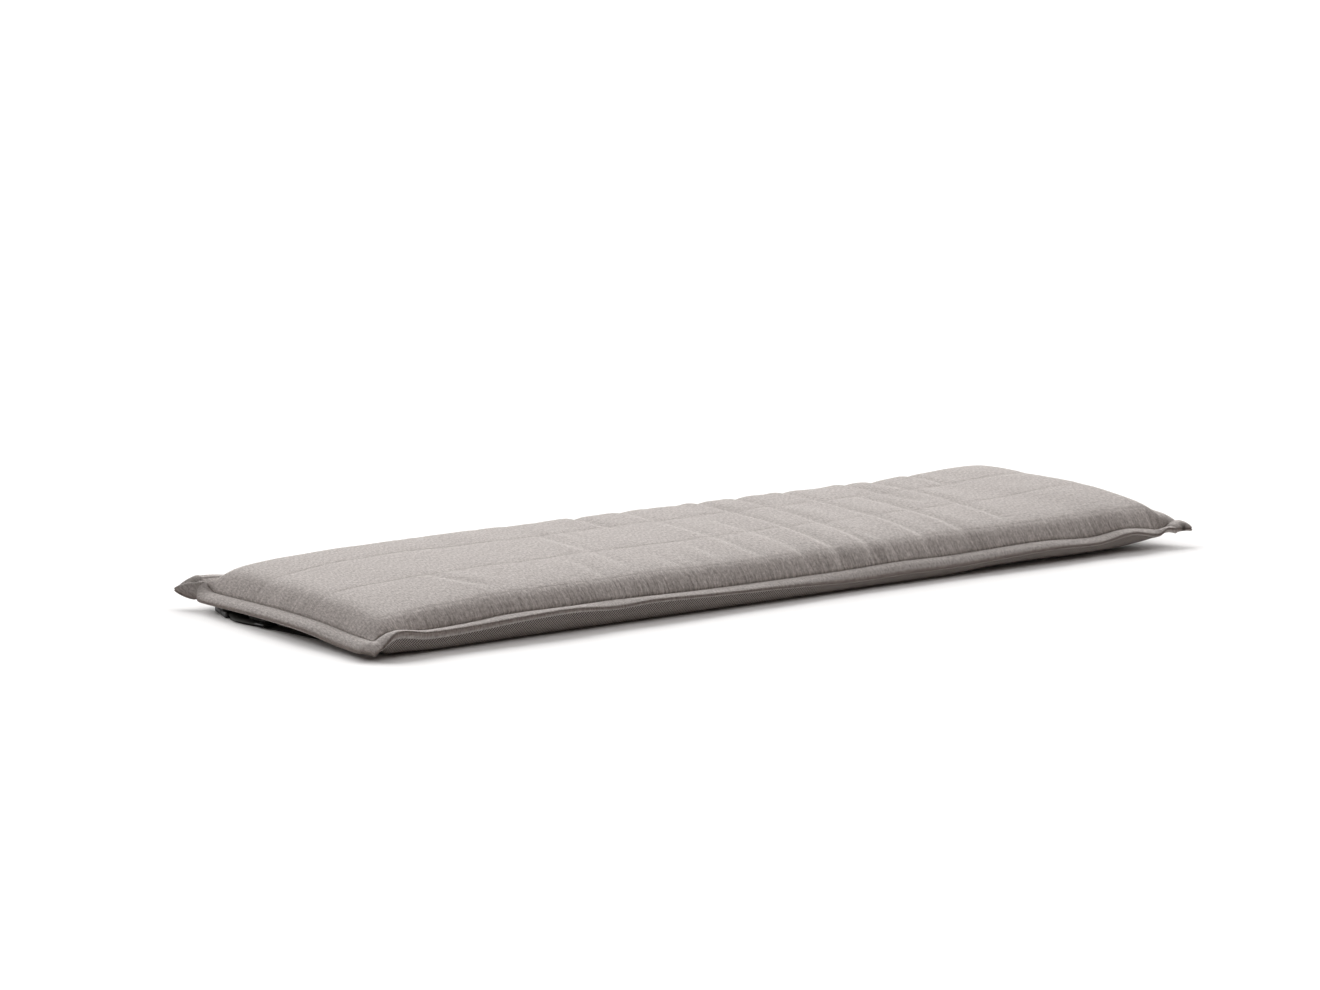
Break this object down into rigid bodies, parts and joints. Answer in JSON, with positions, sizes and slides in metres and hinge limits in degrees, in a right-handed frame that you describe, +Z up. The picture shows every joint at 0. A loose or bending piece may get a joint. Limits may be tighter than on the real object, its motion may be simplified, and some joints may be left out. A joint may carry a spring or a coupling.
{
  "type": "bench cushion",
  "caption": "Long rectangular bench cushion with a crowned, channel-quilted top, a flat stitched border with pointed corners, and buckled fixing straps under both ends.",
  "frame": {"origin": "on the surface that the cushion lies on, under the middle of its box", "axes": "+X along the cushion's length, +Y from its front edge to its back edge, +Z up"},
  "size_m": [1.475, 0.483, 0.0769],
  "materials": {
    "cover_fabric": "warm light grey melange weave, matt, with a coarser and darker twill under the cushion",
    "webbing": "dark olive grey woven strap",
    "buckle_plastic": "fine-grained black moulded plastic"
  },
  "bodies": {
    "root": {"cushion": "cover_fabric", "strap_left_long": "webbing", "strap_left_short": "webbing", "strap_right_long": "webbing", "strap_right_short": "webbing", "buckle_left_plug": "buckle_plastic", "buckle_left_socket": "buckle_plastic", "buckle_right_plug": "buckle_plastic", "buckle_right_socket": "buckle_plastic", "slider_left": "buckle_plastic", "slider_right": "buckle_plastic"}
  },
  "joints": []
}
